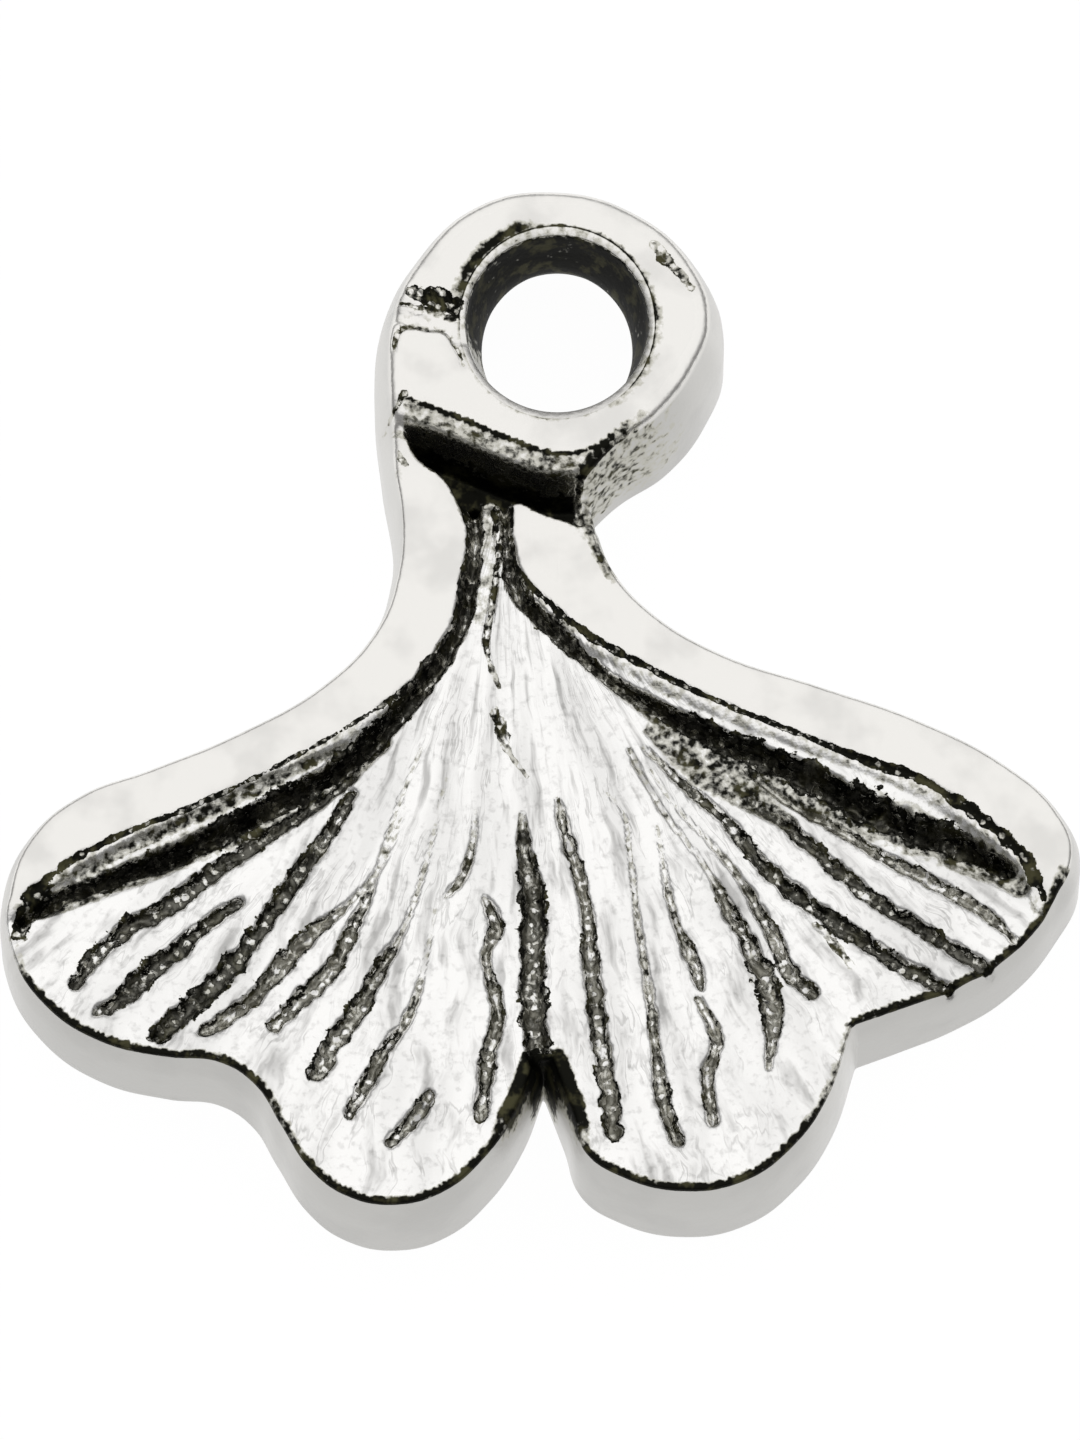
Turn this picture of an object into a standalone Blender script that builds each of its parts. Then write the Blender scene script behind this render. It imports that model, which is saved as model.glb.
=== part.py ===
"""Ginkgo leaf charm: a cast metal leaf whose stalk curls round into a hanging eye.

Run with: blender --background --python part.py
Metres, +Z up. The charm lies on its flat back, with the eye towards +Y and the lobes towards -Y.
The charm is drawn in millimetres on a sheet whose zero is near the middle of the leaf.
"""
import math

import bmesh
import bpy

MM = 0.001
CHARM = "ginkgo_leaf_charm"

# Heights above the back face
EYE_TOP = 2.15
RIM_TOP = 2.02
BLADE_TOP = 1.84
TROUGH_FLOOR = 1.25
NECK_FLOOR = 1.15
VEIN_DEPTH = 0.34

# The leaf's front falls away towards its two tips
TIP_FALL = 0.38
TIP_REACH = 7.6

# The outer wall's section: heights, and how far the edge lies inside the outline there
BACK_WALL = [(0.22, 0.0), (0.07, 0.05), (0.0, 0.14)]
FRONT_WALL = [(1.05, 0.0), (1.55, 0.06), (1.84, 0.14), (2.02, 0.22), (EYE_TOP, 0.36)]

# The hanging eye's hole, waisted at half thickness: height, half width and half length, from the front
EYE_CENTRE = (0.24, 5.58)
EYE_SECTION = [(EYE_TOP, 1.30, 1.38), (1.90, 1.18, 1.31), (1.075, 1.06, 1.24), (0.40, 1.28, 1.51),
               (0.0, 1.50, 1.68)]
EYE_FLARE = 0.15

# Outer edge of the casting at half thickness, anticlockwise from the left of the eye
OUTLINE = [
    (-2.33, 5.05), (-2.22, 3.75), (-2.06, 2.65), (-2.11, 1.85), (-2.38, 1.07), (-3.05, 0.31),
    (-4.25, -0.41), (-5.45, -0.91), (-6.40, -1.26), (-7.10, -1.84), (-7.46, -2.70), (-7.40, -3.62),
    (-6.93, -4.45), (-6.10, -5.06), (-5.15, -5.32), (-4.45, -5.41), (-4.00, -5.72), (-3.64, -6.32),
    (-3.23, -6.98), (-2.70, -7.40), (-2.00, -7.55), (-1.30, -7.36), (-0.70, -6.84), (-0.24, -6.12),
    (0.05, -5.32), (0.34, -6.12), (0.56, -6.76), (1.05, -7.12), (1.95, -7.35), (2.85, -7.18),
    (3.55, -6.64), (4.03, -5.92), (4.38, -4.86), (5.05, -4.60), (5.75, -4.30), (6.50, -3.82),
    (7.15, -3.05), (7.51, -2.20), (7.25, -1.49), (6.55, -0.84), (5.30, -0.18), (3.90, 0.31),
    (2.55, 0.77), (1.60, 1.38), (1.08, 2.02), (0.82, 2.70), (0.70, 3.20), (1.10, 3.60),
    (1.80, 4.10), (2.36, 4.88), (2.59, 5.65), (2.34, 6.55), (1.48, 7.43), (0.15, 7.82),
    (-1.03, 7.54), (-1.88, 6.66), (-2.24, 5.85),
]
# Where the outer edge turns sharply: between the lobes, beside the right lobe, under the eye
OUTLINE_CORNERS = [(0.05, -5.32), (4.38, -4.86), (0.70, 3.20)]

# Inner edges of the two rims, from the neck to the tips
LEFT_RIM_EDGE = [
    (-1.20, 2.95), (-1.02, 2.40), (-1.12, 1.75), (-1.24, 0.95), (-1.66, 0.22), (-2.40, -0.36),
    (-3.47, -1.05), (-4.75, -1.74), (-5.85, -2.18), (-6.60, -2.62), (-7.20, -3.05),
]
RIGHT_RIM_EDGE = [
    (-0.41, 2.95), (-0.39, 2.38), (-0.20, 1.92), (0.30, 1.30), (1.05, 0.70), (2.45, -0.05),
    (3.80, -0.64), (5.20, -1.22), (6.25, -1.90), (6.72, -2.35), (6.98, -2.95),
]

# The deep troughs that run beside the rims, from the neck to the tips
LEFT_TROUGH = [
    (-0.86, 3.05), (-0.84, 2.00), (-1.02, 1.20), (-1.52, 0.24), (-2.50, -0.68), (-3.90, -1.55),
    (-5.19, -2.22), (-6.45, -2.90),
]
RIGHT_TROUGH = [
    (-0.46, 2.95), (-0.44, 2.05), (-0.22, 1.40), (0.50, 0.84), (1.77, -0.02), (3.10, -0.84),
    (5.05, -1.72), (6.55, -2.62),
]
TROUGH_HALF_WIDTH = 0.29
NECK_TROUGH_SHARE = 0.52
TIP_TROUGH_SHARE = 0.35

# The hollow that parts the eye from the upper ends of the rims
NECK_HOLLOW = [
    (-1.85, 4.10), (-1.62, 4.26), (-1.30, 4.18), (-0.77, 3.98), (-0.25, 3.76), (0.28, 3.60),
    (0.56, 3.42), (0.90, 3.22), (0.84, 2.98), (0.62, 2.60), (0.36, 2.66), (0.07, 2.76),
    (-0.32, 2.91), (-0.46, 2.72), (-0.80, 2.70), (-1.03, 2.68), (-1.13, 2.90), (-1.24, 3.18),
    (-1.42, 3.40), (-1.64, 3.58), (-1.80, 3.88),
]

# The curled end of the stalk: a crease, and the shallow ledge beside it
CURL_CREASE = [(-2.60, 6.02), (-1.60, 5.75), (-0.90, 5.55)]
CURL_CREASE_HALF_WIDTH = 0.07
CURL_CREASE_DEPTH = 0.10
CURL_LEDGE = [(-2.60, 5.74), (-1.62, 5.62), (-0.90, 5.35)]
CURL_LEDGE_HALF_WIDTH = 0.15
CURL_LEDGE_DEPTH = 0.06

# Veins of the blade: start, middle and end of each groove, and its half width
VEINS = [
    ((-4.03, -2.28), (-5.15, -3.16), (-6.39, -4.20), 0.15),
    ((-4.14, -2.86), (-5.15, -3.86), (-6.08, -4.56), 0.14),
    ((-2.70, -1.45), (-3.90, -3.50), (-5.30, -5.04), 0.17),
    ((-2.37, -1.60), (-3.22, -3.60), (-4.57, -4.88), 0.12),
    ((-1.68, -0.85), (-2.45, -3.15), (-3.67, -4.83), 0.13),
    ((-1.25, -1.05), (-1.95, -3.30), (-3.10, -5.64), 0.14),
    ((-1.52, -3.85), (-2.00, -5.10), (-2.62, -6.12), 0.12),
    ((-1.52, -5.85), (-1.75, -6.22), (-2.05, -6.54), 0.11),
    ((-0.71, -2.96), (-0.64, -4.50), (-0.81, -6.17), 0.11),
    ((0.25, -1.59), (0.68, -3.70), (1.02, -6.41), 0.14),
    ((0.85, -1.30), (1.35, -3.30), (1.88, -6.51), 0.11),
    ((1.50, -1.80), (1.88, -3.20), (2.22, -4.27), 0.11),
    ((2.20, -4.50), (2.36, -5.20), (2.38, -6.24), 0.12),
    ((1.34, -0.98), (2.55, -3.00), (3.18, -5.40), 0.16),
    ((1.75, -1.20), (2.85, -2.80), (3.75, -4.34), 0.13),
    ((2.05, -1.15), (3.60, -2.92), (5.65, -4.18), 0.15),
    ((2.95, -1.50), (4.50, -2.78), (6.20, -3.92), 0.14),
    ((3.30, -1.30), (4.85, -2.26), (6.58, -3.50), 0.12),
]
MIDRIB = ((-0.20, -1.90), (-0.10, -3.70), (0.05, -5.60), 0.16)
MIDRIB_DEPTH = 0.62
VEIN_SHARES = [0.3, 1.0, 0.7]
MIDRIB_SHARES = [0.3, 1.0, 1.2]

# Where the blade's cutter leaves the casting, and how far each cutter runs past it
BEYOND_LEAF = [(-8.4, -3.3), (-8.4, -8.4), (8.4, -8.4), (8.4, -3.2)]
NECK_END = 3.35
PAST = 0.5

# Facets per stretch of curve, round the eye and across the arch
OUTLINE_STEPS = 4
GROOVE_STEPS = 3
EYE_STEPS = 36
ARCH_STEPS = 12


def clear_scene():
    """Remove whatever objects the file opened with."""
    for obj in list(bpy.data.objects):
        bpy.data.objects.remove(obj, do_unlink=True)


def new_collection(name, hidden=False):
    """Add a collection to the scene."""
    collection = bpy.data.collections.new(name)
    bpy.context.scene.collection.children.link(collection)
    collection.hide_render = hidden
    return collection


def antique_silver():
    """Plated casting alloy: pale, polished on top, with some wear."""
    material = bpy.data.materials.new("antique_silver")
    material.use_nodes = True
    shader = material.node_tree.nodes["Principled BSDF"]
    shader.inputs["Base Color"].default_value = (0.68, 0.66, 0.63, 1.0)
    shader.inputs["Metallic"].default_value = 1.0
    shader.inputs["Roughness"].default_value = 0.3
    return material


def surface_fall(x):
    """How far the leaf's front lies below its middle height, this far from the centre line."""
    return TIP_FALL * min(abs(x) / TIP_REACH, 1.0) ** 2


def spline_curve(name, points, steps, closed=False, corners=()):
    """A smooth curve object through (x, y, z) points in millimetres."""
    curve = bpy.data.curves.new(name, "CURVE")
    curve.resolution_u = steps
    spline = curve.splines.new("BEZIER")
    spline.use_cyclic_u = closed
    spline.bezier_points.add(len(points) - 1)
    for knot, point in zip(spline.bezier_points, points):
        knot.co = [value * MM for value in point]
        kind = "VECTOR" if point[:2] in corners else "AUTO"
        knot.handle_left_type = kind
        knot.handle_right_type = kind
    obj = bpy.data.objects.new(name, curve)
    bpy.context.scene.collection.objects.link(obj)
    return obj


def into_mesh(curve_obj, collection):
    """Turn a curve object into a closed mesh object of the same name."""
    bpy.context.view_layer.update()
    graph = bpy.context.evaluated_depsgraph_get()
    mesh = bpy.data.meshes.new_from_object(curve_obj.evaluated_get(graph))
    name = curve_obj.name
    matrix = curve_obj.matrix_world.copy()
    bpy.data.objects.remove(curve_obj, do_unlink=True)
    cage = bmesh.new()
    cage.from_mesh(mesh)
    bmesh.ops.remove_doubles(cage, verts=cage.verts, dist=0.0005 * MM)
    bmesh.ops.recalc_face_normals(cage, faces=cage.faces)
    cage.to_mesh(mesh)
    cage.free()
    obj = bpy.data.objects.new(name, mesh)
    obj.matrix_world = matrix
    collection.objects.link(obj)
    return obj


def flat_plate(name, outline, bottom, top, collection, steps=2, corners=()):
    """A closed outline made a plate between two heights."""
    obj = spline_curve(name, [(x, y, 0.0) for x, y in outline], steps, closed=True, corners=corners)
    curve = obj.data
    curve.dimensions = "2D"
    curve.fill_mode = "BOTH"
    curve.extrude = (top - bottom) / 2 * MM
    obj.location.z = (top + bottom) / 2 * MM
    return into_mesh(obj, collection)


def shape_wall(cage, cap, section, start_height):
    """Draw a plate's face in and along, from one height and inset of the section to the next."""
    height, inset = start_height, 0.0
    for next_height, next_inset in section:
        bmesh.ops.inset_region(cage, faces=[cap], thickness=(next_inset - inset) * MM,
                               depth=abs(next_height - height) * MM, use_boundary=True)
        height, inset = next_height, next_inset


def groove_cutter(name, path, heights, half_width, depth, shares, collection):
    """A tube along the path, as deep as asked for, and narrowed to its share at each point."""
    stretch = depth / half_width
    points = [(x, y, height / stretch) for (x, y), height in zip(path, heights)]
    obj = spline_curve(name, points, GROOVE_STEPS)
    curve = obj.data
    curve.dimensions = "3D"
    curve.fill_mode = "FULL"
    curve.bevel_depth = half_width * MM
    curve.bevel_resolution = 1
    curve.use_fill_caps = True
    for knot, share in zip(curve.splines[0].bezier_points, shares):
        knot.radius = share
    obj.scale.z = stretch
    return into_mesh(obj, collection)


def blade_groove(name, path, half_width, depth, shares, collection):
    """A groove cutter that follows the blade's arched front."""
    heights = [BLADE_TOP - surface_fall(x) for x, y in path]
    return groove_cutter(name, path, heights, half_width, depth, shares, collection)


def arched_slab(name, crown, far_y, collection):
    """Everything above the leaf's arched front, from beyond the lobes to a place along Y."""
    near_y = BEYOND_LEAF[1][1]
    half_width = BEYOND_LEAF[2][0]
    across = [half_width * (2 * index / ARCH_STEPS - 1) for index in range(ARCH_STEPS + 1)]
    profile = [(x, crown - surface_fall(x)) for x in across]
    profile += [(half_width, EYE_TOP + PAST), (-half_width, EYE_TOP + PAST)]
    curve = bpy.data.curves.new(name, "CURVE")
    curve.dimensions = "2D"
    curve.fill_mode = "BOTH"
    curve.extrude = (far_y - near_y) / 2 * MM
    spline = curve.splines.new("POLY")
    spline.use_cyclic_u = True
    spline.points.add(len(profile) - 1)
    for knot, (x, z) in zip(spline.points, profile):
        knot.co = (x * MM, z * MM, 0.0, 1.0)
    obj = bpy.data.objects.new(name, curve)
    obj.rotation_euler.x = math.radians(90)
    obj.location.y = (near_y + far_y) / 2 * MM
    bpy.context.scene.collection.objects.link(obj)
    return into_mesh(obj, collection)


def make_body(parts):
    """The casting's plate: the outline between its widest heights, then the shaped wall."""
    low = BACK_WALL[0][0]
    high = FRONT_WALL[0][0]
    edge = spline_curve(CHARM, [(x, y, low) for x, y in OUTLINE], OUTLINE_STEPS,
                        closed=True, corners=OUTLINE_CORNERS)
    body = into_mesh(edge, parts)
    cage = bmesh.new()
    cage.from_mesh(body.data)
    face = bmesh.ops.contextual_create(cage, geom=cage.edges[:])["faces"][0]
    raised = bmesh.ops.extrude_face_region(cage, geom=[face], use_keep_orig=True)["geom"]
    bmesh.ops.translate(cage, vec=(0.0, 0.0, (high - low) * MM),
                        verts=[item for item in raised if isinstance(item, bmesh.types.BMVert)])
    bmesh.ops.recalc_face_normals(cage, faces=cage.faces)
    front = next(item for item in raised if isinstance(item, bmesh.types.BMFace))
    shape_wall(cage, front, FRONT_WALL[1:], high)
    shape_wall(cage, face, BACK_WALL[1:], low)
    cage.to_mesh(body.data)
    cage.free()
    return body


def cut_blade(cutters):
    """Lower the leaf below the eye, and the blade below the rims."""
    arched_slab("leaf_front", RIM_TOP, NECK_END, cutters)
    region = LEFT_RIM_EDGE + BEYOND_LEAF + RIGHT_RIM_EDGE[::-1]
    corners = BEYOND_LEAF + [edge[end] for edge in (LEFT_RIM_EDGE, RIGHT_RIM_EDGE) for end in (0, -1)]
    blade = flat_plate("blade_front", region, PAST, EYE_TOP + 2 * PAST, cutters, corners=corners)
    slab = arched_slab("blade_arch", BLADE_TOP, NECK_END, cutters)
    trim = blade.modifiers.new("arch", "BOOLEAN")
    trim.operation = "INTERSECT"
    trim.object = slab
    bpy.context.view_layer.update()
    graph = bpy.context.evaluated_depsgraph_get()
    arched = bpy.data.meshes.new_from_object(blade.evaluated_get(graph))
    blade.modifiers.clear()
    blade.data = arched
    bpy.data.objects.remove(slab, do_unlink=True)


def cut_troughs(cutters):
    """Sink the two troughs beside the rims and the hollow under the eye."""
    for name, path in (("left_trough", LEFT_TROUGH), ("right_trough", RIGHT_TROUGH)):
        shares = [1.0] * len(path)
        shares[0] = NECK_TROUGH_SHARE
        shares[1] = NECK_TROUGH_SHARE
        shares[-1] = TIP_TROUGH_SHARE
        blade_groove(name, path, TROUGH_HALF_WIDTH, BLADE_TOP - TROUGH_FLOOR, shares, cutters)
    flat_plate("neck_hollow", NECK_HOLLOW, NECK_FLOOR, EYE_TOP + PAST, cutters)


def cut_veins(cutters):
    """Engrave the veins that fan out over the blade, and the midrib into the notch."""
    for index, (start, middle, end, half_width) in enumerate(VEINS):
        blade_groove(f"vein_{index:02d}", [start, middle, end], half_width, VEIN_DEPTH,
                     VEIN_SHARES, cutters)
    start, middle, end, half_width = MIDRIB
    blade_groove("midrib", [start, middle, end], half_width, MIDRIB_DEPTH, MIDRIB_SHARES, cutters)


def cut_curl(cutters):
    """Crease the eye where the stalk's end meets it."""
    heights = [EYE_TOP] * len(CURL_CREASE)
    shares = [1.0] * len(CURL_CREASE)
    groove_cutter("curl_crease", CURL_CREASE, heights, CURL_CREASE_HALF_WIDTH, CURL_CREASE_DEPTH,
                  shares, cutters)
    groove_cutter("curl_ledge", CURL_LEDGE, heights, CURL_LEDGE_HALF_WIDTH, CURL_LEDGE_DEPTH,
                  shares, cutters)


def eye_ring(height, half_width, half_length):
    """Points round the eye's hole at this height, anticlockwise seen from the front."""
    turns = [2 * math.pi * index / EYE_STEPS for index in range(EYE_STEPS)]
    return [(half_width * math.cos(turn) * MM, half_length * math.sin(turn) * MM, height * MM)
            for turn in turns]


def cut_eye(cutters):
    """The hole of the eye, as a closed stack of rings that runs past both faces."""
    front_height, front_width, front_length = EYE_SECTION[0]
    back_height, back_width, back_length = EYE_SECTION[-1]
    section = [(front_height + PAST, front_width + EYE_FLARE, front_length + EYE_FLARE)] + EYE_SECTION
    section.append((back_height - PAST, back_width + EYE_FLARE, back_length + EYE_FLARE))
    verts = [point for ring in section for point in eye_ring(*ring)]
    last = len(verts) - EYE_STEPS
    faces = [range(EYE_STEPS), range(len(verts) - 1, last - 1, -1)]
    for start in range(0, last, EYE_STEPS):
        for index in range(EYE_STEPS):
            after = (index + 1) % EYE_STEPS
            faces.append((start + index, start + EYE_STEPS + index, start + EYE_STEPS + after, start + after))
    mesh = bpy.data.meshes.new("eye_hole")
    mesh.from_pydata(verts, [], [tuple(face) for face in faces])
    obj = bpy.data.objects.new("eye_hole", mesh)
    obj.location = (EYE_CENTRE[0] * MM, EYE_CENTRE[1] * MM, 0.0)
    cutters.objects.link(obj)


def centre_on_origin(body, cutters):
    """Hang the casting and its cutters on an empty that brings the box's centre to the origin."""
    xs = [vert.co.x for vert in body.data.vertices]
    ys = [vert.co.y for vert in body.data.vertices]
    centre = bpy.data.objects.new("charm_centre", None)
    centre.location = (-(min(xs) + max(xs)) / 2, -(min(ys) + max(ys)) / 2, 0.0)
    bpy.context.scene.collection.objects.link(centre)
    for obj in [body] + list(cutters.objects):
        obj.parent = centre


def main():
    clear_scene()
    parts = new_collection(CHARM)
    cutters = new_collection("cutters", hidden=True)
    body = make_body(parts)
    body.data.materials.append(antique_silver())
    cut_blade(cutters)
    cut_troughs(cutters)
    cut_veins(cutters)
    cut_curl(cutters)
    cut_eye(cutters)
    centre_on_origin(body, cutters)
    for cutter in cutters.objects:
        cutter.hide_render = True
        cutter.display_type = "WIRE"
    relief = body.modifiers.new("relief", "BOOLEAN")
    relief.operation = "DIFFERENCE"
    relief.operand_type = "COLLECTION"
    relief.collection = cutters
    relief.solver = "EXACT"


main()
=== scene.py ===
"""Ginkgo leaf charm: the cast metal piece in its antique silver finish, on a pale floor.

The frame gives the charm's box. The skin made here follows the same outline, heights and grooves, with
the rounded edges, cast grain and blackened recesses that the plain solid leaves out.
Sizes are in millimetres on the drawing sheet of the leaf, and are turned to metres once, at the end.
"""
import math

import bpy
import numpy as np
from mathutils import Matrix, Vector
from mathutils.geometry import delaunay_2d_cdt
from mathutils.kdtree import KDTree


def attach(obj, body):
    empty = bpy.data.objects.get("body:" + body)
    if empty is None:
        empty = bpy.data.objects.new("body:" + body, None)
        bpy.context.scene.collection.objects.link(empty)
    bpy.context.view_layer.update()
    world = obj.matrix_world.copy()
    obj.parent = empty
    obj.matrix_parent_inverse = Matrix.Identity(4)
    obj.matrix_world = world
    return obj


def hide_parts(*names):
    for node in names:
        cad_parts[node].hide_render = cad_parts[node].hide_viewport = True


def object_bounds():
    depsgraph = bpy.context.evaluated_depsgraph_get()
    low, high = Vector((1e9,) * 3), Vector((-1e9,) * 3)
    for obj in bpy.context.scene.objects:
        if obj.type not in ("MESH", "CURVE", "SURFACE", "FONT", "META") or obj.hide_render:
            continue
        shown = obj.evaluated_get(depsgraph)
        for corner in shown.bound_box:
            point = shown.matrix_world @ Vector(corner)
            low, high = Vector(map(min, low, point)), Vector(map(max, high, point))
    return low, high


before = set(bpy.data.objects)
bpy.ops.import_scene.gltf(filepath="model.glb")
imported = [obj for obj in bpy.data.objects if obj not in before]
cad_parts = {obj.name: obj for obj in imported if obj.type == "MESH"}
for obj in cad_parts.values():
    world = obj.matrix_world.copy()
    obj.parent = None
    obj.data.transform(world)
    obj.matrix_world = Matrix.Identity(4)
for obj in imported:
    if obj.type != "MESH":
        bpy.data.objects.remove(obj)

MM = 0.001
CAD_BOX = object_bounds()
CASTING = "ginkgo_leaf_charm"

# Heights above the back face, and the fall of the leaf's front towards its tips
EYE_TOP = 2.15
RIM_TOP = 2.02
BLADE_TOP = 1.84
NECK_FLOOR = 1.15
TIP_FALL = 0.38
TIP_REACH = 7.6

# The lower wall as heights and insets from the outline: rounded at the back, then upright up to its
# shoulder. Above that the wall leans in, and ends in a rounded lip
WALL_SHOULDER = 1.05
LOWER_WALL = [(0.0, 0.14), (0.03, 0.09), (0.08, 0.045), (0.14, 0.015), (0.22, 0.0), (0.62, 0.0),
              (WALL_SHOULDER, 0.0)]
LEAN_STEPS = 4
LIP_STEPS = 6

# How far the wall leans in, and how wide its lip is: round the blade, the rims and the eye
BLADE_LEAN, BLADE_LIP = 0.09, 0.06
RIM_LEAN, RIM_LIP = 0.12, 0.10
EYE_LEAN, EYE_LIP = 0.19, 0.18
# Distances beside the rims' inner edge, and heights on the sheet, between which one gives way to the next
RIM_TO_BLADE = (-0.25, 0.1)
NECK_TO_EYE = (3.2, 4.4)

# Between the lobes the lip is worn wider and black. Here and below, a pair that ends in NEAR gives the
# distances from a place at which its change is still full, and at which it has ended
NOTCH = (0.05, -5.45)
NOTCH_NEAR = (0.75, 1.45)
NOTCH_WALL_NEAR = (0.25, 0.55)
NOTCH_LIP = 0.11
NOTCH_SOOT = 1.1

# The hanging eye's hole from the front to the back: height, half width, half length and soot.
# A light chamfer lies inside its mouth, and below that the wall is black
EYE_CENTRE = (0.24, 5.58)
EYE_MOUTH = (1.39, 1.49)
EYE_SECTION = [
    (EYE_TOP, *EYE_MOUTH, 0.6), (2.144, 1.375, 1.475, 0.9), (2.138, 1.36, 1.458, 0.20),
    (2.108, 1.295, 1.36, 0.22), (2.10, 1.288, 1.352, 0.5), (2.05, 1.275, 1.337, 0.9),
    (1.94, 1.25, 1.32, 1.0), (1.80, 1.21, 1.32, 1.0), (1.54, 1.13, 1.28, 1.0),
    (1.25, 1.07, 1.25, 1.0), (1.075, 1.06, 1.24, 1.0), (0.80, 1.10, 1.34, 1.0),
    (0.50, 1.22, 1.46, 0.9), (0.24, 1.36, 1.59, 0.7), (0.08, 1.44, 1.65, 0.4),
    (0.0, 1.50, 1.68, 0.0),
]

# Spacing of the skin's points over the front and along its edges
FRONT_SPACING = 0.046
EDGE_SPACING = 0.055

# The soot is thicker on the edge beside the neck, and spreads over the wall under the eye
NECK_CORNER = (0.85, 2.55)
NECK_NEAR = (0.5, 1.0)
NECK_EDGE_SOOT = 0.62
NECK_WALL_SOOT = 0.5
UNDER_EYE = (1.05, 3.50)
UNDER_EYE_NEAR = (0.2, 1.8)
UNDER_EYE_SOOT = 0.44

# How far the painted dark edge line and the soot spread over the front from its edge, and from the notch's
# edges
EDGE_REACH = 0.045
NOTCH_REACH = 0.10

# Black teeth at the upper left of the hole's mouth, and a shade at its right: the soot, the distances from
# the mouth over which it fades, and the turns in degrees over which it comes and goes
TEETH_SOOT, TEETH_FADE, TEETH_TURNS = 1.15, (0.04, 0.22), (95.0, 120.0, 150.0, 178.0)
SHADE_SOOT, SHADE_FADE, SHADE_TURNS = 0.38, (0.0, 0.17), (-75.0, -30.0, 20.0, 45.0)

# The pitted stains beside the troughs, the stained bevel from the rims down to the blade, and the painted
# shade on the ridge between the troughs at the neck
PIT_DEPTH = 0.05
PIT_SOOT = 0.60
RIM_BEVEL = 0.20
BEVEL_SOOT = 0.22
RIDGE_SHADE = 0.30

# The rims' tops are rounded down by this much towards the blade, over this width
RIM_ROUND = 0.03
RIM_ROUND_WIDTH = 0.30

# Painted light: the wall is a little brighter, and a little smoother, where it faces to the side than
# towards the lobes
SIDE_LIGHT_AND_POLISH = 0.40

# Bright beads on the floors of the midrib and the veins
BEADS_PER_MM = 7.0

# Where the veins of the blade would meet
FAN_APEX = (-0.50, 3.2)

# The studio: a white panel overhead, which fades out towards its edge, over a dim surround that only the
# metal sees, as the camera sees a pale backdrop
PANEL_TILT = math.radians(14)
PANEL_CORE = math.radians(40)
PANEL_EDGE = math.radians(72)
PANEL_LIGHT = 1.0
SURROUND_LIGHT = 0.22
BACKDROP_LIGHT = 0.92

# The light table: half its width, how far it lies below the charm, and how bright it is
TABLE_HALF = 600.0
TABLE_GAP = 0.01
TABLE_LIGHT = 0.97

# The camera's tilt from the face's normal, its lens and sensor, and the picture's height and scale
VIEW_TILT = math.radians(22)
LENS = 400.0
SENSOR = 36.0
FRAME_PIXELS = 1440
PIXELS_PER_MM = 71.7

# Colours of the metal: the bright parts, the greys over them, and the soot and the ash in the dips
BLADE_WHITE = "#FDFCFA"
RIM_WHITE = "#F1EFEB"
# The walls' grey: partly a duller finish and partly painted shade
WALL_DULL_AND_SHADE_GREY = "#C2C1BE"
STREAK_GREY = "#ABAAA8"
VEIL_GREY = "#BBB9AC"
SOOT_BLACK, SOOT_OLIVE = "#1A1A16", "#4A4834"
ASH_DARK, ASH_LIGHT = "#484741", "#A5A399"

# Outer edge at half thickness, anticlockwise from the left of the eye
OUTLINE = [
    (-2.33, 5.05), (-2.22, 3.75), (-2.06, 2.65), (-2.11, 1.85), (-2.38, 1.07), (-3.05, 0.31),
    (-4.25, -0.41), (-5.45, -0.91), (-6.40, -1.26), (-7.10, -1.84), (-7.46, -2.70), (-7.40, -3.62),
    (-6.93, -4.45), (-6.10, -5.06), (-5.15, -5.32), (-4.45, -5.41), (-4.00, -5.72), (-3.64, -6.32),
    (-3.23, -6.98), (-2.70, -7.40), (-2.00, -7.55), (-1.30, -7.36), (-0.70, -6.84), (-0.24, -6.12),
    (0.05, -5.32), (0.34, -6.12), (0.56, -6.76), (1.05, -7.12), (1.95, -7.35), (2.85, -7.18),
    (3.55, -6.64), (4.03, -5.92), (4.38, -4.86), (5.05, -4.60), (5.75, -4.30), (6.50, -3.82),
    (7.15, -3.05), (7.51, -2.20), (7.25, -1.49), (6.55, -0.84), (5.30, -0.18), (3.90, 0.31),
    (2.55, 0.77), (1.60, 1.38), (1.08, 2.02), (0.82, 2.70), (0.70, 3.20), (1.10, 3.60),
    (1.80, 4.10), (2.36, 4.88), (2.59, 5.65), (2.34, 6.55), (1.48, 7.43), (0.15, 7.82),
    (-1.03, 7.54), (-1.88, 6.66), (-2.24, 5.85),
]
OUTLINE_CORNERS = [(0.05, -5.32), (4.38, -4.86), (0.70, 3.20)]

# Inner edges of the two rims, from the neck to the tips
LEFT_RIM_EDGE = [
    (-1.20, 2.95), (-1.00, 2.40), (-1.10, 1.75), (-1.26, 1.05), (-1.74, 0.27), (-2.45, -0.31),
    (-3.47, -0.93), (-4.75, -1.57), (-5.85, -2.02), (-6.60, -2.45), (-7.20, -2.95),
]
RIGHT_RIM_EDGE = [
    (-0.41, 2.95), (-0.40, 2.38), (-0.30, 1.88), (0.25, 1.28), (1.05, 0.70), (2.45, -0.05),
    (3.80, -0.60), (5.20, -1.18), (6.25, -1.86), (6.72, -2.35), (6.98, -2.95),
]
BEYOND_LEAF = [(-8.4, -3.3), (-8.4, -8.4), (8.4, -8.4), (8.4, -3.2)]

# The lower edge of the eye's front face, from the left, and the rest of a loop round the eye
EYE_FACE_EDGE = [
    (-2.70, 4.82), (-1.90, 4.49), (-1.30, 4.25), (-0.77, 4.01), (-0.25, 3.78), (0.22, 3.63),
    (0.57, 3.66), (0.95, 3.80), (1.32, 3.96), (1.69, 4.18), (2.05, 4.48), (2.70, 5.10),
]
ROUND_THE_EYE = [(3.40, 5.30), (3.40, 8.60), (-3.40, 8.60), (-3.40, 5.10)]

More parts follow.
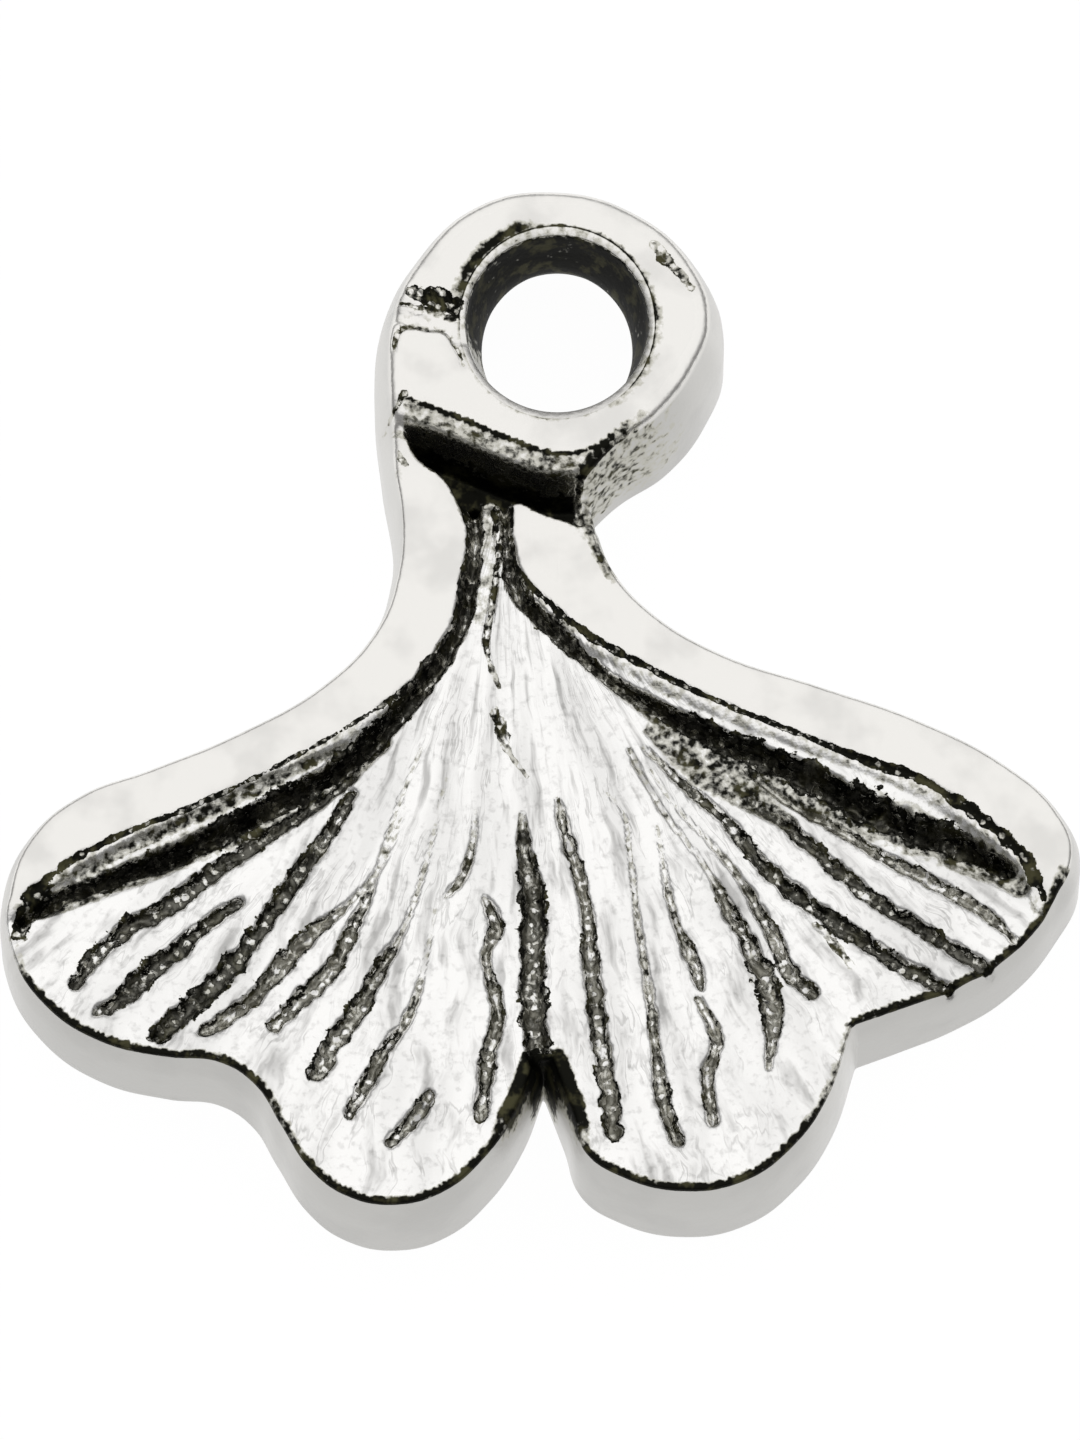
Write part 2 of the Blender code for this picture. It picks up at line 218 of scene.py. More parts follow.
# Below that edge lies a bevel, and then the steep wall down to the hollow
EYE_BEVEL = 0.29
EYE_BEVEL_SLOPE = 0.48
EYE_WALL_SLOPE = 3.2

# The darkening there: a painted dark reflection line at the edge, soot on the bevel and on the wall, and at
# the right, where less is left
FACE_LINE_SHADE = 1.05
FACE_BEVEL_SOOT = 0.44
FACE_WALL_SOOT = 1.1
FACE_RIGHT_SOOT = 0.30

# The rims come down to the shoulder between these heights on the sheet
SHOULDER_TOP = 1.90
SHOULDER_SPAN = (3.2, 4.0)

# The hollow between the eye and the upper ends of the rims
NECK_HOLLOW = [
    (-1.85, 4.10), (-1.62, 4.26), (-1.30, 4.18), (-0.77, 3.98), (-0.25, 3.76), (0.22, 3.70),
    (0.60, 3.80), (1.10, 4.00), (1.80, 4.40), (2.60, 4.40), (1.60, 3.50), (0.90, 3.10),
    (0.78, 2.90), (0.62, 2.60), (0.36, 2.66), (0.07, 2.76), (-0.32, 2.94), (-0.48, 2.92),
    (-0.72, 2.96), (-1.00, 2.86), (-1.13, 2.98), (-1.24, 3.18), (-1.42, 3.40), (-1.64, 3.58),
    (-1.80, 3.88),
]

# Grooves, each a path of (x, y, half width)
TROUGHS = [
    [(-0.92, 3.05, 0.09), (-0.90, 2.47, 0.09), (-0.96, 1.84, 0.12), (-1.04, 1.34, 0.12),
     (-1.21, 0.90, 0.11), (-1.42, 0.52, 0.13), (-1.70, 0.14, 0.14), (-2.35, -0.62, 0.16),
     (-3.07, -1.18, 0.17), (-3.81, -1.58, 0.18), (-4.56, -2.00, 0.18), (-5.30, -2.34, 0.16),
     (-6.19, -2.67, 0.12), (-6.71, -2.88, 0.11), (-7.20, -3.18, 0.08)],
    [(-0.50, 2.95, 0.08), (-0.47, 2.40, 0.08), (-0.39, 1.84, 0.12), (-0.10, 1.34, 0.12),
     (0.21, 1.02, 0.11), (0.59, 0.64, 0.10), (1.05, 0.26, 0.10), (1.60, -0.07, 0.13),
     (2.45, -0.55, 0.17), (3.25, -0.88, 0.20), (4.18, -1.33, 0.23), (4.90, -1.72, 0.24),
     (5.86, -2.10, 0.20), (6.45, -2.42, 0.12)],
]
RIM_LINES = [
    [(-1.10, 2.95, 0.04), (-0.99, 2.40, 0.03), (-1.09, 1.75, 0.03), (-1.25, 1.05, 0.03),
     (-1.73, 0.27, 0.03), (-2.44, -0.29, 0.028), (-3.47, -0.92, 0.028), (-4.75, -1.56, 0.03),
     (-5.85, -2.01, 0.035), (-6.60, -2.43, 0.06), (-7.15, -2.90, 0.08)],
    [(-0.40, 2.90, 0.03), (-0.39, 2.38, 0.03), (-0.29, 1.88, 0.04), (0.26, 1.28, 0.04),
     (0.62, 0.96, 0.045), (1.05, 0.69, 0.045), (2.45, -0.05, 0.035), (3.70, -0.57, 0.03),
     (4.50, -0.90, 0.05), (5.30, -1.19, 0.065), (6.18, -1.80, 0.08), (6.72, -2.32, 0.09),
     (6.98, -2.90, 0.06)],
]
MIDRIB = [[(-0.25, -1.70, 0.04), (-0.20, -2.29, 0.12), (-0.10, -2.88, 0.16), (-0.10, -3.63, 0.17),
           (-0.08, -4.90, 0.18), (0.00, -5.30, 0.17)]]
WING_VEINS = [
    [(-2.60, -1.14, 0.07), (-3.10, -1.50, 0.10), (-3.63, -1.88, 0.10), (-4.10, -2.20, 0.10),
     (-4.56, -2.53, 0.13), (-5.15, -3.01, 0.15), (-5.82, -3.37, 0.13), (-6.12, -3.69, 0.09),
     (-6.42, -4.11, 0.09)],
    [(-4.18, -2.97, 0.08), (-4.48, -3.17, 0.09), (-4.92, -3.56, 0.13), (-5.45, -4.02, 0.15),
     (-5.90, -4.42, 0.13), (-6.12, -4.53, 0.07)],
    [(-2.62, -1.36, 0.08), (-2.85, -1.84, 0.09), (-3.36, -2.56, 0.12), (-3.81, -3.27, 0.13),
     (-4.25, -3.89, 0.15), (-4.78, -4.45, 0.16), (-5.28, -4.90, 0.14)],
    [(1.45, -0.71, 0.04), (2.13, -1.36, 0.08), (2.65, -1.85, 0.09), (3.07, -2.41, 0.10),
     (3.67, -2.95, 0.12), (4.27, -3.38, 0.13), (4.95, -3.84, 0.13), (5.65, -4.22, 0.11)],
    [(2.93, -1.46, 0.06), (3.49, -1.90, 0.09), (4.13, -2.48, 0.11), (4.73, -2.98, 0.10),
     (5.29, -3.33, 0.12), (5.76, -3.64, 0.11), (6.22, -3.94, 0.09)],
]
VEINS = [
    [(-1.88, -1.62, 0.02), (-2.18, -2.42, 0.03), (-2.69, -3.05, 0.05), (-3.14, -3.43, 0.12),
     (-3.51, -3.83, 0.13), (-3.96, -4.37, 0.12), (-4.34, -4.69, 0.10), (-4.63, -4.83, 0.09)],
    [(-1.65, -0.71, 0.02), (-1.95, -1.54, 0.03), (-2.32, -2.72, 0.04), (-2.62, -3.45, 0.10),
     (-2.91, -4.02, 0.13), (-3.29, -4.40, 0.12), (-3.67, -4.79, 0.10)],
    [(-1.28, -1.05, 0.02), (-1.58, -2.42, 0.03), (-1.88, -3.38, 0.04), (-2.18, -3.93, 0.11),
     (-2.47, -4.50, 0.13), (-2.78, -4.98, 0.13), (-3.07, -5.53, 0.11)],
    [(-1.45, -3.10, 0.02), (-1.58, -3.87, 0.03), (-1.80, -4.66, 0.06), (-2.11, -5.14, 0.10),
     (-2.33, -5.54, 0.11), (-2.62, -6.10, 0.08)],
    [(-1.52, -5.84, 0.08), (-1.69, -6.14, 0.11), (-2.05, -6.53, 0.08)],
    [(-0.90, -1.60, 0.02), (-0.93, -2.10, 0.05), (-1.09, -2.66, 0.06), (-1.30, -2.93, 0.04)],
    [(-0.76, -2.95, 0.05), (-0.60, -3.36, 0.10), (-0.74, -3.79, 0.06), (-0.59, -4.62, 0.10),
     (-0.71, -5.31, 0.12), (-0.81, -6.15, 0.09)],
    [(0.25, -1.49, 0.04), (0.35, -1.97, 0.08), (0.50, -2.45, 0.09), (0.64, -3.09, 0.08),
     (0.70, -3.90, 0.11), (0.84, -4.98, 0.12), (1.02, -6.39, 0.12)],
    [(0.93, -1.39, 0.02), (1.14, -1.64, 0.03), (1.24, -2.24, 0.03), (1.34, -3.20, 0.04),
     (1.53, -4.53, 0.06), (1.58, -5.09, 0.06), (1.70, -5.91, 0.10), (1.88, -6.50, 0.10)],
    [(1.62, -1.85, 0.02), (1.84, -3.15, 0.05), (2.13, -3.93, 0.09), (2.22, -4.26, 0.06)],
    [(2.18, -4.44, 0.05), (2.43, -5.00, 0.08), (2.32, -5.54, 0.09), (2.38, -6.23, 0.07)],
    [(1.24, -0.74, 0.04), (1.44, -1.16, 0.04), (1.73, -1.70, 0.035), (2.04, -2.12, 0.03),
     (2.35, -2.58, 0.04), (2.65, -3.15, 0.10), (3.07, -4.00, 0.16), (3.21, -4.62, 0.14),
     (3.15, -5.45, 0.04)],
    [(1.53, -1.03, 0.03), (1.88, -1.58, 0.03), (2.38, -2.14, 0.04), (2.73, -2.59, 0.05),
     (3.24, -3.52, 0.10), (3.50, -4.06, 0.13), (3.75, -4.30, 0.11)],
    [(2.85, -1.00, 0.04), (3.45, -1.48, 0.06), (4.30, -1.98, 0.08), (4.90, -2.36, 0.08),
     (5.50, -2.68, 0.09), (6.14, -3.06, 0.08), (6.61, -3.50, 0.05)],
]
FINE_LINES = [
    [(-0.64, 2.83, 0.05), (-0.57, 2.26, 0.05), (-0.61, 1.95, 0.05), (-0.67, 1.39, 0.05),
     (-0.75, 0.88, 0.05), (-0.70, 0.56, 0.04), (-0.57, 0.19, 0.03)],
    [(-0.62, -0.10, 0.03), (-0.55, -0.45, 0.04), (-0.42, -0.80, 0.03), (-0.18, -1.15, 0.03)],
    [(-1.78, 6.12, 0.05), (-1.62, 5.92, 0.06)],
    [(-1.52, 6.08, 0.05), (-1.44, 5.84, 0.07), (-1.40, 5.74, 0.05)],
    [(-1.30, 6.02, 0.06), (-1.20, 5.74, 0.07)],
    [(-1.95, 5.88, 0.04), (-1.60, 5.77, 0.04), (-1.30, 5.66, 0.04), (-1.14, 5.62, 0.05)],
    [(-2.04, 5.15, 0.03), (-2.01, 5.36, 0.04), (-1.90, 5.50, 0.04), (-1.60, 5.48, 0.04),
     (-1.32, 5.43, 0.04), (-1.19, 5.22, 0.04), (-1.06, 4.94, 0.04)],
    [(-1.90, 4.49, 0.05), (-2.10, 4.22, 0.04), (-2.30, 4.02, 0.03)],
]
SPECKLES = [
    [(-1.80, 6.04, 0.09), (-1.45, 5.95, 0.15), (-1.20, 5.80, 0.13)],
    [(-2.05, 4.04, 0.05), (-1.85, 3.98, 0.07), (-1.65, 3.95, 0.07)],
    [(-1.98, 3.72, 0.05), (-1.90, 3.50, 0.06)],
    [(1.60, 6.78, 0.06), (1.85, 6.47, 0.09), (2.12, 6.12, 0.06)],
    [(3.80, -3.30, 0.04), (4.10, -3.66, 0.065), (4.35, -3.95, 0.05)],
    [(-0.62, -0.12, 0.07), (-0.55, -0.42, 0.09), (-0.45, -0.75, 0.05)],
    [(-6.85, -2.75, 0.12), (-7.10, -3.05, 0.18), (-7.20, -3.35, 0.12)],
]
# Soft stains, without a groove, pitted beside and along the troughs; and plain painted shade on the ridge
# between them
PITTED_BANDS = [
    [(0.95, 0.28, 0.08), (1.65, -0.22, 0.18), (2.44, -0.72, 0.30), (3.25, -1.14, 0.36),
     (4.46, -1.60, 0.42), (5.44, -1.98, 0.38), (6.28, -2.38, 0.30), (6.65, -2.70, 0.16)],
    [(-2.20, -0.62, 0.16), (-2.80, -1.10, 0.24), (-3.40, -1.50, 0.30), (-3.95, -1.80, 0.30),
     (-4.50, -1.98, 0.28), (-5.30, -2.36, 0.26), (-6.20, -2.70, 0.24), (-6.90, -2.98, 0.18)],
    [(1.55, -0.45, 0.12), (2.23, -1.00, 0.30), (2.90, -1.45, 0.22), (3.50, -1.80, 0.10)],
    [(-2.70, -0.68, 0.05), (-3.80, -1.24, 0.10), (-4.75, -1.70, 0.11), (-5.60, -2.08, 0.10),
     (-6.40, -2.50, 0.09)],
]
NECK_RIDGE = [(-0.70, 2.90, 0.18), (-0.66, 2.20, 0.18), (-0.72, 1.70, 0.16), (-0.84, 1.20, 0.10)]
CURL_LEDGE = [[(-2.60, 5.78, 0.12), (-1.75, 5.63, 0.13), (-1.30, 5.55, 0.13), (-1.10, 5.30, 0.11)]]

# What the graver is told, with each setting's unit, and then each family of grooves with its settings in
# that order. A groove has its full depth and soot where its half width is full. Wobble, floor share and
# slope reach are shares of the half width
GRAVER_SETTINGS = {
    "Depth": MM, "Full half width": MM, "Wobble": 1.0, "Floor share": 1.0, "Slope depth": MM,
    "Slope reach": 1.0, "Bead height": MM, "Bead scale": 1.0 / MM, "Soot": 1.0, "Middle soot": 1.0,
}
GRAVER_PASSES = {
    "troughs": (TROUGHS, 0.55, 0.16, 1.2, 0.25, 0.02, 1.8, 0.22, 5.5, 1.15, 0.78),
    "rim_lines": (RIM_LINES, 0.05, 0.04, 2.2, 0.2, 0.0, 1.5, 0.0, 6.0, 1.1, 1.0),
    "midrib": (MIDRIB, 0.30, 0.15, 1.4, 0.45, 0.03, 2.0, 0.12, BEADS_PER_MM, 1.15, 0.60),
    "wing_veins": (WING_VEINS, 0.20, 0.11, 1.8, 0.45, 0.05, 2.6, 0.12, BEADS_PER_MM, 1.10, 0.74),
    "veins": (VEINS, 0.20, 0.11, 1.8, 0.45, 0.05, 2.6, 0.12, BEADS_PER_MM, 1.05, 0.54),
    "fine_lines": (FINE_LINES, 0.06, 0.06, 1.5, 0.3, 0.01, 2.0, 0.0, 6.0, 0.85, 1.0),
    "speckles": (SPECKLES, 0.03, 0.12, 3.0, 0.1, 0.0, 1.5, 0.03, 9.0, 0.90, 1.0),
    "curl_ledge": (CURL_LEDGE, 0.06, 0.12, 1.0, 0.5, 0.0, 1.5, 0.0, 6.0, 0.1, 1.0),
}


def smooth_step(value, low, high):
    """Rises from 0 to 1 between low and high, level at both ends."""
    share = np.clip((value - low) / (high - low), 0.0, 1.0)
    return share * share * (3.0 - 2.0 * share)


def smooth_fall(value, low, high):
    """Falls from 1 to 0 between low and high, level at both ends."""
    return 1.0 - smooth_step(value, low, high)


def window(value, start, full, fade, end):
    """Rises from 0 to 1 between start and full, and falls again between fade and end."""
    return smooth_step(value, start, full) * smooth_fall(value, fade, end)


def nearness(points, place, near, far):
    """1 for each point nearer to a place than near, falling to 0 at far."""
    return smooth_fall(np.linalg.norm(points - np.array(place), axis=1), near, far)


def traced(points, steps, closed=False, corners=()):
    """Points along the smooth curve through the given ones, as an array of (x, y)."""
    curve = bpy.data.curves.new("trace", "CURVE")
    curve.resolution_u = steps
    spline = curve.splines.new("BEZIER")
    spline.use_cyclic_u = closed
    spline.bezier_points.add(len(points) - 1)
    for knot, (x, y) in zip(spline.bezier_points, points):
        knot.co = (x, y, 0.0)
        kind = "VECTOR" if (x, y) in corners else "AUTO"
        knot.handle_left_type = kind
        knot.handle_right_type = kind
    obj = bpy.data.objects.new("trace", curve)
    bpy.context.scene.collection.objects.link(obj)
    bpy.context.view_layer.update()
    mesh = bpy.data.meshes.new_from_object(obj.evaluated_get(bpy.context.evaluated_depsgraph_get()))
    line = np.array([tuple(vert.co)[:2] for vert in mesh.vertices])
    bpy.data.objects.remove(obj, do_unlink=True)
    bpy.data.meshes.remove(mesh)
    return line


def evenly(loop, spacing):
    """The same closed loop with points about one spacing apart."""
    line = np.vstack([loop, loop[:1]])
    run = np.concatenate([[0.0], np.cumsum(np.linalg.norm(np.diff(line, axis=0), axis=1))])
    count = int(round(run[-1] / spacing))
    stops = np.linspace(0.0, run[-1], count + 1)[:-1]
    return np.column_stack([np.interp(stops, run, line[:, axis]) for axis in (0, 1)])


def side_normals(loop):
    """Unit normals that point out of an anticlockwise closed loop."""
    along = np.roll(loop, -1, axis=0) - np.roll(loop, 1, axis=0)
    along /= np.linalg.norm(along, axis=1)[:, None]
    return np.column_stack([along[:, 1], -along[:, 0]])


def inside(points, loop):
    """True for each point that lies in the closed loop."""
    result = np.zeros(len(points), bool)
    x, y = points[:, 0], points[:, 1]
    for (ax, ay), (bx, by) in zip(loop, np.roll(loop, -1, axis=0)):
        crosses = (ay > y) != (by > y)
        if ay != by:
            result ^= crosses & (x < (bx - ax) * (y - ay) / (by - ay) + ax)
    return result


def distance_to(points, loop):
    """Distance from each point to the closed loop."""
    best = np.full(len(points), 1e9)
    for start, end in zip(loop, np.roll(loop, -1, axis=0)):
        along = end - start
        share = np.clip((points - start) @ along / (along @ along), 0.0, 1.0)
        gap = points - start - share[:, None] * along
        best = np.minimum(best, gap[:, 0] ** 2 + gap[:, 1] ** 2)
    return np.sqrt(best)


def signed_depth(points, loop):
    """Distance to the loop, positive inside it."""
    gap = distance_to(points, loop)
    return np.where(inside(points, loop), gap, -gap)


LEAF_EDGE = evenly(traced(OUTLINE, 16, closed=True, corners=OUTLINE_CORNERS), EDGE_SPACING)
SHEET_CENTRE = (LEAF_EDGE.min(axis=0) + LEAF_EDGE.max(axis=0)) / 2
BLADE_REGION = evenly(np.vstack([traced(LEFT_RIM_EDGE, 8), BEYOND_LEAF,
                                 traced(RIGHT_RIM_EDGE, 8)[::-1]]), 0.12)
HOLLOW_EDGE = evenly(traced(NECK_HOLLOW, 8, closed=True), 0.06)
EYE_FACE = evenly(np.vstack([traced(EYE_FACE_EDGE, 8), ROUND_THE_EYE]), 0.10)


def eye_ring(half_width, half_length):
    """Points round the eye's hole at one height, anticlockwise."""
    count = int(2 * math.pi * EYE_MOUTH[0] / EDGE_SPACING)
    turn = np.linspace(0.0, 2 * math.pi, count, endpoint=False)
    return np.column_stack([EYE_CENTRE[0] + half_width * np.cos(turn),
                            EYE_CENTRE[1] + half_length * np.sin(turn)])


def stain_share(points, stroke):
    """Distance from each point to a stroke's line, as a share of the stroke's half width there."""
    best = np.full(len(points), 9.0)
    for (ax, ay, start_width), (bx, by, end_width) in zip(stroke, stroke[1:]):
        start = np.array((ax, ay))
        along = np.array((bx, by)) - start
        run = np.clip((points - start) @ along / (along @ along), 0.0, 1.0)
        gap = np.linalg.norm(points - start - run[:, None] * along, axis=1)
        best = np.minimum(best, gap / (start_width + (end_width - start_width) * run))
    return best


def front_surface(points):
    """Height of the front before it is engraved, and how dark it is at each point: soot, with painted shade
    between the troughs at the neck and a painted dark line below the eye's face.
    """
    fall = TIP_FALL * np.minimum(np.abs(points[:, 0]) / TIP_REACH, 1.0) ** 2
    blade_depth = signed_depth(points, BLADE_REGION)
    on_blade = np.clip(blade_depth / RIM_BEVEL, 0.0, 1.0)
    rim_round = RIM_ROUND * smooth_fall(-blade_depth, 0.0, RIM_ROUND_WIDTH) ** 2
    shoulder = (RIM_TOP - SHOULDER_TOP) * smooth_step(points[:, 1], *SHOULDER_SPAN)
    rim = RIM_TOP - fall - rim_round - shoulder
    height = rim + (BLADE_TOP - fall - rim) * on_blade
    hollow_depth = signed_depth(points, HOLLOW_EDGE)
    height += (NECK_FLOOR - height) * smooth_step(hollow_depth, -0.05, 0.08)
    beyond_eye = np.maximum(-signed_depth(points, EYE_FACE), 0.0)
    steep = np.maximum(beyond_eye - EYE_BEVEL, 0.0)
    height = np.maximum(height, EYE_TOP - EYE_BEVEL_SLOPE * beyond_eye - EYE_WALL_SLOPE * steep)
    soot = under_face_shade_and_soot(points, beyond_eye, hollow_depth) * smooth_step(EYE_TOP - height, 0.0, 0.01)
    beside_rim = (blade_depth > 0.0) & (blade_depth < RIM_BEVEL)
    soot = np.maximum(soot, np.where(beside_rim, BEVEL_SOOT, 0.0))
    soot = np.maximum(soot, eye_stain(points))
    for band in PITTED_BANDS:
        pitted = smooth_fall(stain_share(points, band), 0.55, 1.15)
        height = height - PIT_DEPTH * pitted
        soot = np.maximum(soot, PIT_SOOT * pitted)
    # Painted shade between the troughs at the neck
    ridge_shade = smooth_fall(stain_share(points, NECK_RIDGE), 0.7, 1.1)
    return height, np.maximum(soot, RIDGE_SHADE * ridge_shade)


def under_face_shade_and_soot(points, beyond_eye, hollow_depth):
    """Darkening below the eye's face: a painted dark reflection line at its edge, soot on the bevel and the
    wall, and less at the right.
    """
    near_hollow = smooth_step(hollow_depth, -0.34, -0.20)
    # Painted shade: a dark reflection line along the face's lower edge
    line = FACE_LINE_SHADE - smooth_step(beyond_eye, 0.05, 0.09)
    strip = FACE_BEVEL_SOOT * smooth_fall(beyond_eye, EYE_BEVEL + 0.04, EYE_BEVEL + 0.12)
    wall = smooth_step(beyond_eye, EYE_BEVEL, EYE_BEVEL + 0.22) * smooth_step(hollow_depth, -0.10, 0.0)
    soot = np.maximum(np.maximum(line, strip) * near_hollow, FACE_WALL_SOOT * wall)
    right = smooth_step(points[:, 0], 0.3, 1.0)
    return soot + (FACE_RIGHT_SOOT * near_hollow - soot) * right * smooth_step(beyond_eye, 0.03, 0.06)


def eye_stain(points):
    """Soot that spreads from the eye's hole over the front: ragged at the upper left, soft at the right."""
    away = (points - np.array(EYE_CENTRE)) / np.array(EYE_MOUTH)
    beyond = (np.linalg.norm(away, axis=1) - 1.0) * EYE_MOUTH[0]
    turn = np.degrees(np.arctan2(away[:, 1], away[:, 0]))
    teeth = TEETH_SOOT * window(turn, *TEETH_TURNS) * smooth_fall(beyond, *TEETH_FADE)
    shade = SHADE_SOOT * window(turn, *SHADE_TURNS) * smooth_fall(beyond, *SHADE_FADE)
    return np.maximum(teeth, shade)


def by_place(points, blade, rim, eye):
    """A value for each edge point: of the blade, of the rims or of the eye, blended between them."""
    on_eye = smooth_step(points[:, 1], *NECK_TO_EYE)
    on_blade = smooth_step(signed_depth(points, BLADE_REGION), *RIM_TO_BLADE)
    value = rim + (blade - rim) * on_blade
    return value + (eye - value) * on_eye


def edge_shade_and_soot(outward):
    """Darkening on each point of the front's edge: a painted dark reflection line on the side of the lobes,
    and soot at the notch and the neck.
    """
    # Painted shade: a dark reflection line along the edge on the side of the lobes
    facing_shade = smooth_step(-outward[:, 1], 0.05, 0.7) * smooth_fall(LEAF_EDGE[:, 1], 3.4, 4.2)
    by_notch = NOTCH_SOOT * nearness(LEAF_EDGE, NOTCH, *NOTCH_NEAR)
    beside_neck = NECK_EDGE_SOOT * nearness(LEAF_EDGE, NECK_CORNER, *NECK_NEAR)
    return np.maximum.reduce([facing_shade, by_notch, beside_neck])


def edge_shade_and_stain(points, edge):
    """The edge's painted dark line and soot, spread inward over the front from the points of its edge."""
    soot = edge_shade_and_soot(side_normals(LEAF_EDGE))
    reach = EDGE_REACH + (NOTCH_REACH - EDGE_REACH) * nearness(LEAF_EDGE, NOTCH, *NOTCH_NEAR)
    tree = KDTree(len(edge))
    for index, (x, y) in enumerate(edge):
        tree.insert((x, y, 0.0), index)
    tree.balance()
    found = [tree.find((x, y, 0.0)) for x, y in points]
    nearest = np.array([index for _, index, _ in found])
    gap = np.array([distance for _, _, distance in found])
    return soot[nearest] * smooth_fall(gap / reach[nearest], 0.7, 1.3)


def wall_rings():
    """The outer wall as rings from back to front: points, heights, follow, polish and soot."""
    outward = side_normals(LEAF_EDGE)
    by_notch = nearness(LEAF_EDGE, NOTCH, *NOTCH_NEAR)
    lips = by_place(LEAF_EDGE, BLADE_LIP, RIM_LIP, EYE_LIP)
    lips += (NOTCH_LIP - lips) * by_notch
    leans = by_place(LEAF_EDGE, BLADE_LEAN, RIM_LEAN, EYE_LEAN)
    tops, _ = front_surface(LEAF_EDGE - outward * (leans + lips)[:, None])
    beside_neck = NECK_WALL_SOOT * nearness(LEAF_EDGE, NECK_CORNER, *NECK_NEAR)
    low_stain = np.maximum(UNDER_EYE_SOOT * nearness(LEAF_EDGE, UNDER_EYE, *UNDER_EYE_NEAR),
                           nearness(LEAF_EDGE, NOTCH, *NOTCH_WALL_NEAR))
    # Painted light: a lighter colour on the wall where it faces to the side
    sideways_light_and_polish = SIDE_LIGHT_AND_POLISH * smooth_fall(-outward[:, 1], 0.1, 0.8)
    none = np.zeros(len(LEAF_EDGE))
    rings = []
    for height, inset in LOWER_WALL:
        stain = low_stain * smooth_step(height, 0.1, 0.9)
        rings.append((LEAF_EDGE - outward * inset, none + height, none, sideways_light_and_polish, stain))
    for step in range(1, LEAN_STEPS + 1):
        share = step / LEAN_STEPS
        inset = leans * share ** 1.8
        height = WALL_SHOULDER + (tops - lips - WALL_SHOULDER) * share
        stain = np.maximum.reduce([by_notch * share ** 3, beside_neck * share, low_stain])
        rings.append((LEAF_EDGE - outward * inset[:, None], height, none + share, sideways_light_and_polish, stain))
    # The lip carries the painted dark reflection line on the side of the lobes, and soot at the notch and
    # the neck
    line = edge_shade_and_soot(outward)
    for step in range(1, LIP_STEPS + 1):
        angle = math.pi / 2 * step / LIP_STEPS
        inset = leans + lips * (1.0 - math.cos(angle))
        height = tops - lips * (1.0 - math.sin(angle))
        polish_and_light = np.maximum(none + min(1.0, 2.0 * step / LIP_STEPS), sideways_light_and_polish)
        rings.append((LEAF_EDGE - outward * inset[:, None], height, none + 1.0, polish_and_light, line))
    return rings


def eye_rings():
    """The eye's inner wall as rings from front to back: points, heights, follow, polish and soot."""
    rings = []
    for height, half_width, half_length, sooty in EYE_SECTION:
        ring = eye_ring(half_width, half_length)
        none = np.zeros(len(ring))
        # The wall at the bottom and the left of the hole keeps less of its soot
        rubbed = smooth_step(-(ring[:, 1] - EYE_CENTRE[1]) - 0.35 * (ring[:, 0] - EYE_CENTRE[0]), 0.2, 0.9)
        # Below the mouth the wall takes the walls' grey, partly a duller finish and partly painted shade
        rings.append((ring, none + height, none + smooth_step(height, 1.5, EYE_TOP),
                      none + smooth_step(height, 1.9, EYE_TOP), none + sooty * (1.0 - 0.7 * rubbed)))
    return rings


def filled(loops, loose):
    """Triangles over the region between an outer loop and a hole, through the loose points."""
    points = [Vector(point) for loop in loops for point in loop]
    edges = []
    start = 0
    for loop in loops:
        count = len(loop)
        edges += [(start + index, start + (index + 1) % count) for index in range(count)]
        start += count
    points += [Vector(point) for point in loose]
    found = delaunay_2d_cdt(points, edges, [], 0, 1e-7, True)
    places = np.array([tuple(point) for point in found[0]])
    faces = np.array(found[2])
    source = [ids[0] for ids in found[3]]
    middles = places[faces].mean(axis=1)
    kept = inside(middles, loops[0]) & ~inside(middles, loops[1])
    return np.array(source)[faces[kept]]


def front_points(outer, hole):
    """A hexagonal field of points over the front, clear of its edge and of the hole."""
    low = outer.min(axis=0)
    high = outer.max(axis=0)
    rows = np.arange(low[1], high[1], FRONT_SPACING * math.sqrt(3) / 2)
    columns = np.arange(low[0], high[0], FRONT_SPACING)
    field = np.array([(x + FRONT_SPACING / 2 * (index % 2), y)
                      for index, y in enumerate(rows) for x in columns])
    near = FRONT_SPACING * 0.55
    field = field[inside(field, outer) & ~inside(field, hole)]
    return field[(distance_to(field, outer) > near) & (distance_to(field, hole) > near)]


def quads_between(start, rings, around):
    """Four-sided faces that join closed rings of points, each ring with the next."""
    faces = []
    for ring in range(rings - 1):
        base = start + ring * around
        for index in range(around):
            after = (index + 1) % around
            faces.append((base + index, base + after, base + around + after, base + around + index))
    return faces


